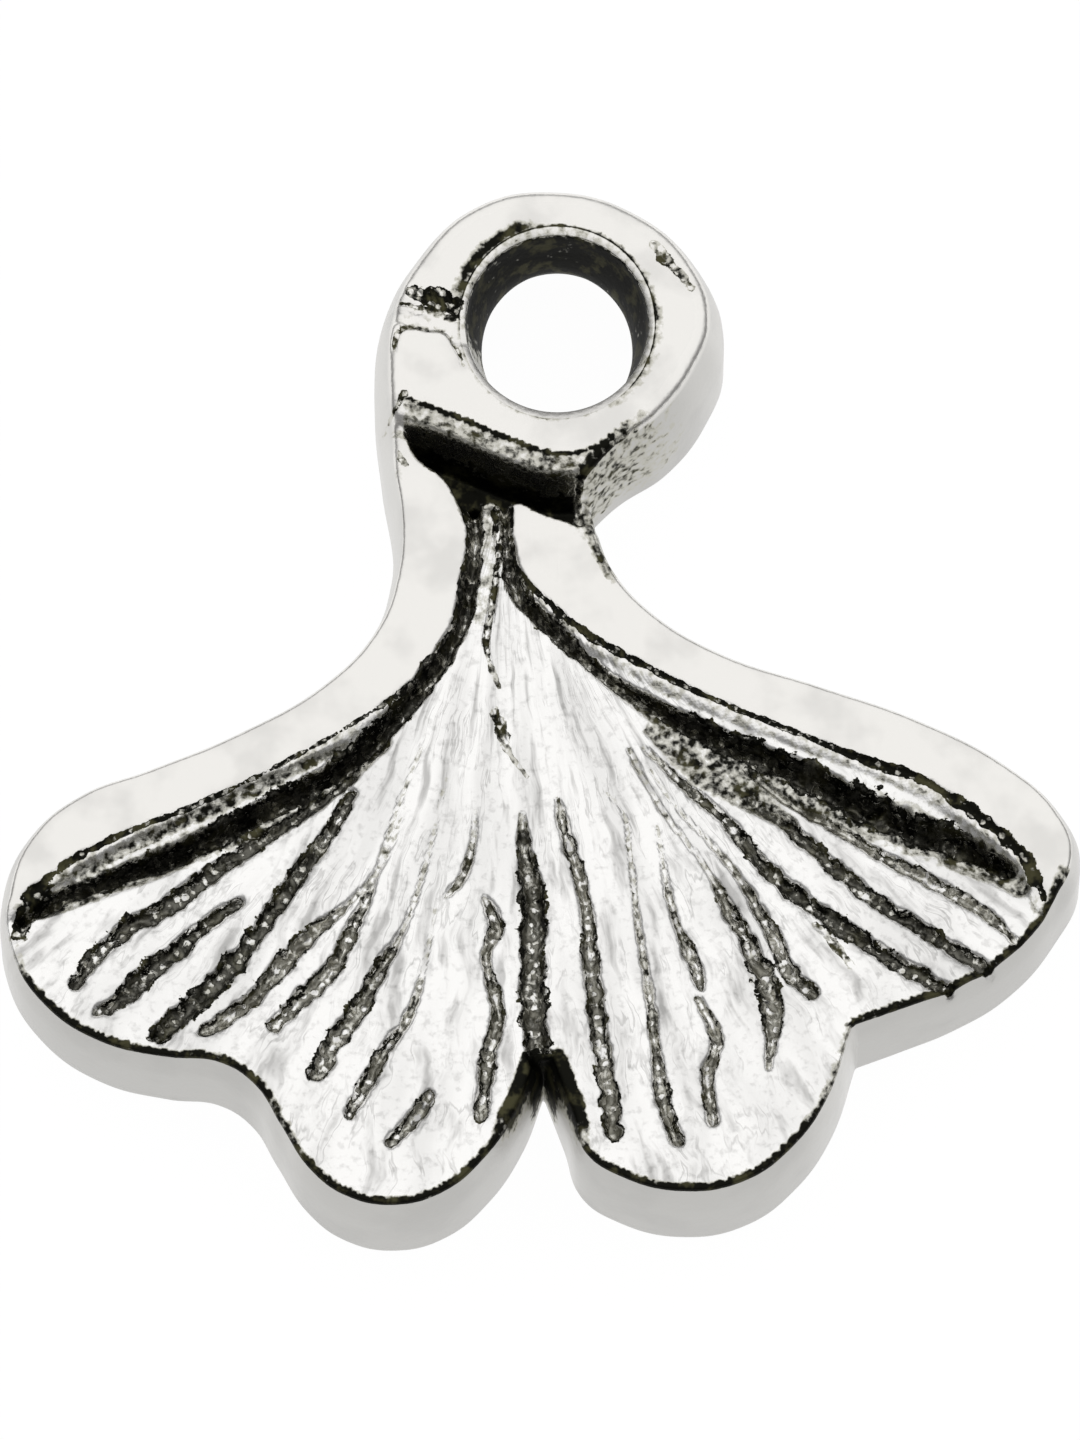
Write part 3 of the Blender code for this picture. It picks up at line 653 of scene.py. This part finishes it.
def cast_skin():
    """The whole casting as one closed mesh, before it is engraved."""
    wall = wall_rings()
    eye = eye_rings()
    outer = wall[-1][0]
    hole = eye[0][0]
    field = front_points(outer, hole)
    heights, sooty = front_surface(field)
    ones = np.ones(len(field))
    layers = wall + eye + [(field, heights, ones, ones, np.maximum(sooty, edge_shade_and_stain(field, outer)))]
    points = np.vstack([np.column_stack(layer[:2]) for layer in layers])
    follow, polish_and_light, soot = [np.concatenate([layer[part] for layer in layers]) for part in (2, 3, 4)]

    around = len(LEAF_EDGE)
    turn = len(hole)
    eye_start = around * len(wall)
    field_start = eye_start + turn * len(eye)
    faces = quads_between(0, len(wall), around) + quads_between(eye_start, len(eye), turn)
    table = np.concatenate([np.arange(around) + around * (len(wall) - 1),
                            np.arange(turn) + eye_start, np.arange(len(field)) + field_start])
    faces += [tuple(int(table[corner]) for corner in face) for face in filled([outer, hole], field)]
    table = np.concatenate([np.arange(around), np.arange(turn) + field_start - turn])
    back = filled([wall[0][0], eye[-1][0]], [])
    faces += [tuple(int(table[corner]) for corner in face[::-1]) for face in back]

    on_blade = polish_and_light * smooth_step(signed_depth(points[:, :2], BLADE_REGION), 0.0, 0.15)
    on_blade *= smooth_fall(points[:, 1], 2.2, 3.0)
    points[:, :2] -= SHEET_CENTRE
    points = np.clip(points, np.array(CAD_BOX[0]) / MM, np.array(CAD_BOX[1]) / MM)
    mesh = bpy.data.meshes.new("silver_charm")
    mesh.from_pydata((points * MM).tolist(), [], faces)
    # The soot values also carry painted shade: the dark reflection lines along the edges and the shade
    # between the troughs at the neck
    features = {"follow": follow, "polish_and_light": polish_and_light, "blade": on_blade, "soot": soot,
                "groove": np.full(len(points), 9.0), "groove_soot": np.zeros(len(points)),
                "groove_middle": np.ones(len(points))}
    for name, values in features.items():
        layer = mesh.attributes.new(name, "FLOAT", "POINT")
        layer.data.foreach_set("value", values.astype(np.float32))
    mesh.validate()
    obj = bpy.data.objects.new("silver_charm", mesh)
    bpy.context.scene.collection.objects.link(obj)
    return obj


def add(tree, kind, inputs=(), **settings):
    """Add a node, with its settings, and its inputs given as values or as sockets to link from."""
    node = tree.nodes.new(kind)
    for name, value in settings.items():
        setattr(node, name, value)
    for key, value in dict(inputs).items():
        if isinstance(value, bpy.types.NodeSocket):
            tree.links.new(value, node.inputs[key])
        else:
            node.inputs[key].default_value = value
    return node


def hex_colour(code):
    """An sRGB hex colour as linear red, green, blue and alpha."""
    channels = [int(code[start:start + 2], 16) / 255 for start in (1, 3, 5)]
    linear = [value / 12.92 if value <= 0.04045 else ((value + 0.055) / 1.055) ** 2.4
              for value in channels]
    return (*linear, 1.0)


def groove_paths(name, grooves):
    """The grooves as curves on the floor of the sheet, with each point's radius its half width."""
    curve = bpy.data.curves.new(name, "CURVE")
    curve.dimensions = "3D"
    curve.resolution_u = 8
    for groove in grooves:
        spline = curve.splines.new("BEZIER")
        spline.bezier_points.add(len(groove) - 1)
        for knot, (x, y, half_width) in zip(spline.bezier_points, groove):
            knot.co = ((x - SHEET_CENTRE[0]) * MM, (y - SHEET_CENTRE[1]) * MM, 0.0)
            knot.handle_left_type = "AUTO"
            knot.handle_right_type = "AUTO"
            knot.radius = half_width * MM
    obj = bpy.data.objects.new(name, curve)
    bpy.context.scene.collection.objects.link(obj)
    return obj


def maths(tree, operation, *values, clamp=False):
    """A Math node's result."""
    node = add(tree, "ShaderNodeMath", enumerate(values), operation=operation, use_clamp=clamp)
    return node.outputs[0]


def times(tree, first, *others):
    """The product of values, with a Math node for each after the first."""
    for other in others:
        first = maths(tree, "MULTIPLY", first, other)
    return first


def mixed(tree, share, under, over):
    """A Mix node's value, from under to over."""
    return add(tree, "ShaderNodeMix", {0: share, 2: under, 3: over}, data_type="FLOAT").outputs[0]


def tinted(tree, share, under, over):
    """A Mix node's colour, from under to over, each a socket or a hex code."""
    ends = {6: under, 7: over}
    given = {key: hex_colour(end) if isinstance(end, str) else end for key, end in ends.items()}
    return add(tree, "ShaderNodeMix", {0: share, **given}, data_type="RGBA").outputs[2]


def smooth_range(tree, value, low, high, start=0.0, end=1.0):
    """A Map Range node's result, eased between low and high."""
    given = {"Value": value, "From Min": low, "From Max": high, "To Min": start, "To Max": end}
    return add(tree, "ShaderNodeMapRange", given, interpolation_type="SMOOTHSTEP").outputs[0]


def stored(tree, name):
    """A float attribute read in geometry nodes."""
    return add(tree, "GeometryNodeInputNamedAttribute", {"Name": name}, data_type="FLOAT").outputs[0]


def noise(tree, place, per_mm, detail=2.0, spread=0.5):
    """Noise with this many waves to the millimetre, from 0 to 1."""
    given = {"Vector": place, "Scale": per_mm / MM, "Detail": detail, "Roughness": spread}
    return add(tree, "ShaderNodeTexNoise", given).outputs[0]


def dots(tree, place, per_unit):
    """Distance from the nearest of scattered dots, with about this many to a unit of length."""
    return add(tree, "ShaderNodeTexVoronoi", {"Vector": place, "Scale": per_unit},
               voronoi_dimensions="2D").outputs["Distance"]


def centred(tree, value, swing):
    """A 0 to 1 value turned to one that swings about zero."""
    return times(tree, maths(tree, "SUBTRACT", value, 0.5), swing)


def graver_tree():
    """Geometry nodes that sink a groove along every path, and mark it for blackening."""
    tree = bpy.data.node_groups.new("graver", "GeometryNodeTree")
    face = tree.interface
    face.new_socket("Geometry", in_out="INPUT", socket_type="NodeSocketGeometry")
    face.new_socket("Paths", in_out="INPUT", socket_type="NodeSocketObject")
    for name in GRAVER_SETTINGS:
        face.new_socket(name, in_out="INPUT", socket_type="NodeSocketFloat")
    face.new_socket("Metal", in_out="INPUT", socket_type="NodeSocketMaterial")
    face.new_socket("Geometry", in_out="OUTPUT", socket_type="NodeSocketGeometry")
    given = tree.nodes.new("NodeGroupInput").outputs
    paths = add(tree, "GeometryNodeObjectInfo", {"Object": given["Paths"]}, transform_space="RELATIVE")
    width = add(tree, "GeometryNodeInputRadius")
    marked = add(tree, "GeometryNodeStoreNamedAttribute",
                 {"Geometry": paths.outputs["Geometry"], "Name": "half_width",
                  "Value": width.outputs[0]}, data_type="FLOAT", domain="POINT")
    dense = add(tree, "GeometryNodeResampleCurve",
                {"Curve": marked.outputs[0], "Length": 0.01 * MM}, mode="LENGTH")
    line = add(tree, "GeometryNodeCurveToMesh", {"Curve": dense.outputs[0]}).outputs[0]

    # How far each point of the skin is from the nearest path, as a share of that path's half width
    place = add(tree, "GeometryNodeInputPosition").outputs[0]
    split = add(tree, "ShaderNodeSeparateXYZ", {0: place})
    flat = add(tree, "ShaderNodeCombineXYZ", {"X": split.outputs[0], "Y": split.outputs[1]}).outputs[0]
    nearest = add(tree, "GeometryNodeSampleNearest", {"Geometry": line, "Sample Position": flat},
                  domain="POINT").outputs[0]
    centre = add(tree, "GeometryNodeSampleIndex", {"Geometry": line, "Value": place, "Index": nearest},
                 data_type="FLOAT_VECTOR", domain="POINT").outputs[0]
    half = add(tree, "GeometryNodeSampleIndex",
               {"Geometry": line, "Value": stored(tree, "half_width"), "Index": nearest},
               data_type="FLOAT", domain="POINT").outputs[0]
    gap = add(tree, "ShaderNodeVectorMath", {0: flat, 1: centre}, operation="DISTANCE").outputs["Value"]
    wobble = centred(tree, noise(tree, flat, 3.5, 3.0, 0.6), given["Wobble"])
    share = maths(tree, "ADD", maths(tree, "DIVIDE", gap, half), wobble)
    taper = maths(tree, "DIVIDE", half, given["Full half width"], clamp=True)

    # The groove's section, with the slopes that lead down to it and the beads on its floor
    sunk = times(tree, smooth_range(tree, share, given["Floor share"], 1.0, 1.0, 0.0), taper)
    beads = maths(tree, "SUBTRACT", 0.6, dots(tree, flat, given["Bead scale"]))
    floor_depth = maths(tree, "SUBTRACT", given["Depth"], times(tree, beads, given["Bead height"]))
    slope = smooth_range(tree, share, 0.8, given["Slope reach"], 1.0, 0.0)
    drop = maths(tree, "ADD", times(tree, floor_depth, sunk),
                 times(tree, slope, taper, given["Slope depth"]))
    shift = add(tree, "ShaderNodeCombineXYZ",
                {"Z": times(tree, drop, stored(tree, "follow"), -1.0)}).outputs[0]
    shape = add(tree, "GeometryNodeSetPosition", {"Geometry": given["Geometry"], "Offset": shift})

    # The material draws the soot from the nearest groove's share, its soot and its middle's soot
    before = stored(tree, "groove")
    closer = maths(tree, "LESS_THAN", share, before)
    geometry = shape.outputs[0]
    soot = times(tree, taper, given["Soot"])
    middle = smooth_range(tree, taper, 0.4, 0.9, 1.0, given["Middle soot"])
    for name, value in (("groove_soot", soot), ("groove_middle", middle), ("groove", share)):
        chosen = mixed(tree, closer, stored(tree, name), value)
        geometry = add(tree, "GeometryNodeStoreNamedAttribute",
                       {"Geometry": geometry, "Name": name, "Value": chosen},
                       data_type="FLOAT", domain="POINT").outputs[0]
    real = add(tree, "GeometryNodeRealizeInstances", {"Geometry": geometry}).outputs[0]
    done = add(tree, "GeometryNodeSetMaterial", {"Geometry": real, "Material": given["Metal"]}).outputs[0]
    add(tree, "NodeGroupOutput", {0: done})
    return tree


def engrave(obj, tree, name, grooves, settings, metal):
    """Sink one family of grooves into the casting, and keep the result as a plain mesh."""
    paths = groove_paths(name, grooves)
    graver = obj.modifiers.new(name, "NODES")
    graver.node_group = tree
    values = {"Paths": paths, "Metal": metal}
    for (key, unit), setting in zip(GRAVER_SETTINGS.items(), settings):
        values[key] = setting * unit
    for socket in tree.interface.items_tree:
        if socket.in_out == "INPUT" and socket.name in values:
            graver[socket.identifier] = values[socket.name]
    bpy.context.view_layer.update()
    shown = obj.evaluated_get(bpy.context.evaluated_depsgraph_get())
    mesh = bpy.data.meshes.new_from_object(shown)
    obj.modifiers.clear()
    obj.data = mesh
    bpy.data.objects.remove(paths, do_unlink=True)


def fan_place(tree, place):
    """Polar place about the point where the veins would meet: angle, then distance in millimetres."""
    apex = ((FAN_APEX[0] - SHEET_CENTRE[0]) * MM, (FAN_APEX[1] - SHEET_CENTRE[1]) * MM, 0.0)
    away = add(tree, "ShaderNodeVectorMath", {0: place, 1: apex}, operation="SUBTRACT").outputs[0]
    split = add(tree, "ShaderNodeSeparateXYZ", {0: away}).outputs
    angle = maths(tree, "ARCTAN2", split[0], times(tree, split[1], -1.0))
    reach = add(tree, "ShaderNodeVectorMath", {0: away}, operation="LENGTH").outputs["Value"]
    return angle, maths(tree, "DIVIDE", reach, MM)


def streaks(tree, angle, reach, across, along, offset):
    """Noise drawn out along the veins: waves to the radian and to the millimetre."""
    vector = add(tree, "ShaderNodeCombineXYZ",
                 {"X": times(tree, angle, across), "Y": times(tree, reach, along),
                  "Z": offset}).outputs[0]
    return add(tree, "ShaderNodeTexNoise", {"Vector": vector, "Scale": 1.0, "Detail": 3.0}).outputs[0]


def antique_silver():
    """Silver plate over a zinc casting, blackened and then polished: white on top, sooty in the dips."""
    metal = bpy.data.materials.new("antique_silver_plate")
    metal.use_nodes = True
    tree = metal.node_tree
    tree.nodes.clear()
    place = add(tree, "ShaderNodeTexCoord").outputs["Object"]
    read = {name: add(tree, "ShaderNodeAttribute", attribute_name=name).outputs["Fac"]
            for name in ("soot", "polish_and_light", "blade", "groove", "groove_soot", "groove_middle")}
    grain = noise(tree, place, 9.0, 3.0)
    blots = noise(tree, place, 3.2, 3.0, 0.6)

    # Soot: solid at the sides of a groove, broken by bright beads in its middle, ragged at its edge
    ragged = maths(tree, "ADD", centred(tree, noise(tree, place, 6.0, 3.0, 0.7), 1.8),
                   centred(tree, noise(tree, place, 1.5, 2.0), 1.4))
    share = maths(tree, "ADD", read["groove"], ragged)
    within = smooth_range(tree, share, 0.85, 1.10, 1.0, 0.0)
    side = smooth_range(tree, share, 0.52, 0.82)
    inner = maths(tree, "SUBTRACT", 1.0, side)
    beads = maths(tree, "ADD", dots(tree, place, BEADS_PER_MM / MM), centred(tree, grain, 0.9))
    beads = smooth_range(tree, beads, 0.16, 0.40, 1.0, 0.0)
    middle = maths(tree, "ADD", times(tree, inner, read["groove_middle"]), side)
    soot = times(tree, within, read["groove_soot"], middle, read["polish_and_light"])
    soot = maths(tree, "SUBTRACT", soot, times(tree, inner, beads, 0.40))
    # The stored soot also carries painted shade: dark reflection lines along the edges and shade between
    # the troughs at the neck
    soot = maths(tree, "MAXIMUM", soot, read["soot"])
    uneven = maths(tree, "ADD", centred(tree, grain, 1.6), centred(tree, blots, 0.6))
    soot = maths(tree, "ADD", soot, times(tree, uneven, smooth_range(tree, soot, 0.0, 0.2)))
    veil = smooth_range(tree, soot, 0.10, 0.42)
    soot = smooth_range(tree, soot, 0.36, 0.76)

    # Ash on the floors of the wider grooves, but not where the skin round them is black too
    ash = times(tree, inner, maths(tree, "SUBTRACT", 1.0, read["groove_middle"]), within)
    ash = maths(tree, "MULTIPLY", ash, 1.8, clamp=True)
    ash = times(tree, ash, smooth_range(tree, read["soot"], 0.5, 0.9, 1.0, 0.0))

    # Soft grey streaks and fine scratches on the blade, drawn out along its veins
    angle, reach = fan_place(tree, place)
    angle = maths(tree, "ADD", angle, centred(tree, noise(tree, place, 1.3, 2.0), 0.05))
    lines = streaks(tree, angle, reach, 34.0, 0.9, 0.0)
    ridges = streaks(tree, angle, reach, 12.0, 0.30, 4.0)
    scratch = smooth_range(tree, maths(tree, "ABSOLUTE", centred(tree, lines, 1.0)), 0.0, 0.03, 1.0, 0.0)
    scratch = times(tree, scratch, smooth_range(tree, noise(tree, place, 1.4, 2.0), 0.42, 0.62))
    shade = maths(tree, "ADD", times(tree, smooth_range(tree, lines, 0.50, 0.74), 0.75),
                  times(tree, smooth_range(tree, ridges, 0.42, 0.66), 0.22))
    shade = maths(tree, "ADD", shade, times(tree, scratch, 0.45))
    shade = maths(tree, "ADD", shade, times(tree, smooth_range(tree, grain, 0.5, 0.75), 0.3))
    patches = times(tree, smooth_range(tree, noise(tree, place, 1.1, 3.0), 0.45, 0.70), 0.25)
    shade = mixed(tree, read["blade"], patches, shade)

    # The colours from the polished metal up, with the walls' grey partly a duller finish and partly painted
    # shade: streaks, a thin veil of soot, and the soot and ash themselves
    whites = tinted(tree, read["blade"], RIM_WHITE, BLADE_WHITE)
    polished = tinted(tree, read["polish_and_light"], WALL_DULL_AND_SHADE_GREY, whites)
    streaked = tinted(tree, shade, polished, STREAK_GREY)
    veiled = tinted(tree, times(tree, veil, 0.75), streaked, VEIL_GREY)
    black = tinted(tree, smooth_range(tree, blots, 0.48, 0.64), SOOT_BLACK, SOOT_OLIVE)
    ashes = tinted(tree, smooth_range(tree, grain, 0.40, 0.62), ASH_DARK, ASH_LIGHT)
    colour = tinted(tree, soot, veiled, tinted(tree, ash, black, ashes))
    rough = maths(tree, "ADD", mixed(tree, read["polish_and_light"], 0.42, 0.26), times(tree, soot, 0.25))

    # Cast grain everywhere, with the ridges along the veins on the blade, and the soot in small pits
    relief = times(tree, ridges, read["blade"], 2.2)
    cast = times(tree, maths(tree, "ADD", grain, noise(tree, place, 1.6, 3.0)), 0.35)
    height = maths(tree, "SUBTRACT", maths(tree, "ADD", relief, cast), times(tree, soot, 0.4))
    bump = add(tree, "ShaderNodeBump",
               {"Height": height, "Strength": 0.7, "Distance": 0.03 * MM}).outputs[0]
    shader = add(tree, "ShaderNodeBsdfPrincipled",
                 {"Base Color": colour, "Metallic": 1.0, "Roughness": rough, "Normal": bump})
    add(tree, "ShaderNodeOutputMaterial", {"Surface": shader.outputs[0]})
    return metal


def floor():
    """A plain white light table under the charm."""
    half = TABLE_HALF * MM
    mesh = bpy.data.meshes.new("light_table")
    mesh.from_pydata([(-half, -half, 0), (half, -half, 0), (half, half, 0), (-half, half, 0)],
                     [], [(0, 1, 2, 3)])
    obj = bpy.data.objects.new("light_table", mesh)
    obj.location.z = -TABLE_GAP * MM
    bpy.context.scene.collection.objects.link(obj)
    acrylic = bpy.data.materials.new("lit_white_acrylic")
    acrylic.use_nodes = True
    shader = acrylic.node_tree.nodes["Principled BSDF"]
    shader.inputs["Base Color"].default_value = hex_colour("#404040")
    shader.inputs["Roughness"].default_value = 0.9
    shader.inputs["Specular IOR Level"].default_value = 0.0
    shader.inputs["Emission Color"].default_value = (1.0, 1.0, 1.0, 1.0)
    shader.inputs["Emission Strength"].default_value = TABLE_LIGHT
    mesh.materials.append(acrylic)


def studio():
    """A broad white panel overhead and a dim surround that the metal's edges mirror, on a pale backdrop."""
    world = bpy.data.worlds.new("studio")
    world.use_nodes = True
    tree = world.node_tree
    toward = add(tree, "ShaderNodeTexCoord").outputs["Generated"]
    middle = Vector((0.0, math.sin(PANEL_TILT), math.cos(PANEL_TILT)))
    height = add(tree, "ShaderNodeVectorMath", {0: toward, 1: middle}, operation="DOT_PRODUCT")
    strength = smooth_range(tree, height.outputs["Value"], math.cos(PANEL_EDGE), math.cos(PANEL_CORE),
                            SURROUND_LIGHT, PANEL_LIGHT)
    seen = add(tree, "ShaderNodeLightPath").outputs["Is Camera Ray"]
    background = tree.nodes["Background"]
    background.inputs["Color"].default_value = (1.0, 1.0, 1.0, 1.0)
    tree.links.new(mixed(tree, seen, strength, BACKDROP_LIGHT), background.inputs["Strength"])
    bpy.context.scene.world = world
    bpy.context.scene.view_settings.view_transform = "Standard"


def camera():
    """A long lens that looks down on the charm from the side of its lobes."""
    frame_height = FRAME_PIXELS / PIXELS_PER_MM * MM
    distance = LENS * frame_height / SENSOR
    shot = bpy.data.cameras.new("product_camera")
    shot.lens = LENS
    shot.sensor_width = SENSOR
    shot.clip_start = 0.01
    obj = bpy.data.objects.new("product_camera", shot)
    aim = Vector((-SHEET_CENTRE[0] * MM, -SHEET_CENTRE[1] * MM, EYE_TOP / 2 * MM))
    back = Vector((0.0, -math.sin(VIEW_TILT), math.cos(VIEW_TILT)))
    obj.location = aim + back * distance
    obj.rotation_mode = "QUATERNION"
    obj.rotation_quaternion = back.to_track_quat("Z", "Y")
    bpy.context.scene.collection.objects.link(obj)
    bpy.context.scene.camera = obj


metal = antique_silver()
charm = cast_skin()
graver = graver_tree()
for name, (grooves, *settings) in GRAVER_PASSES.items():
    engrave(charm, graver, name, grooves, settings, metal)
for polygon in charm.data.polygons:
    polygon.use_smooth = True
print("skin triangles", sum(len(polygon.vertices) - 2 for polygon in charm.data.polygons))
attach(charm, "root")
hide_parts(CASTING)
floor()
studio()
camera()
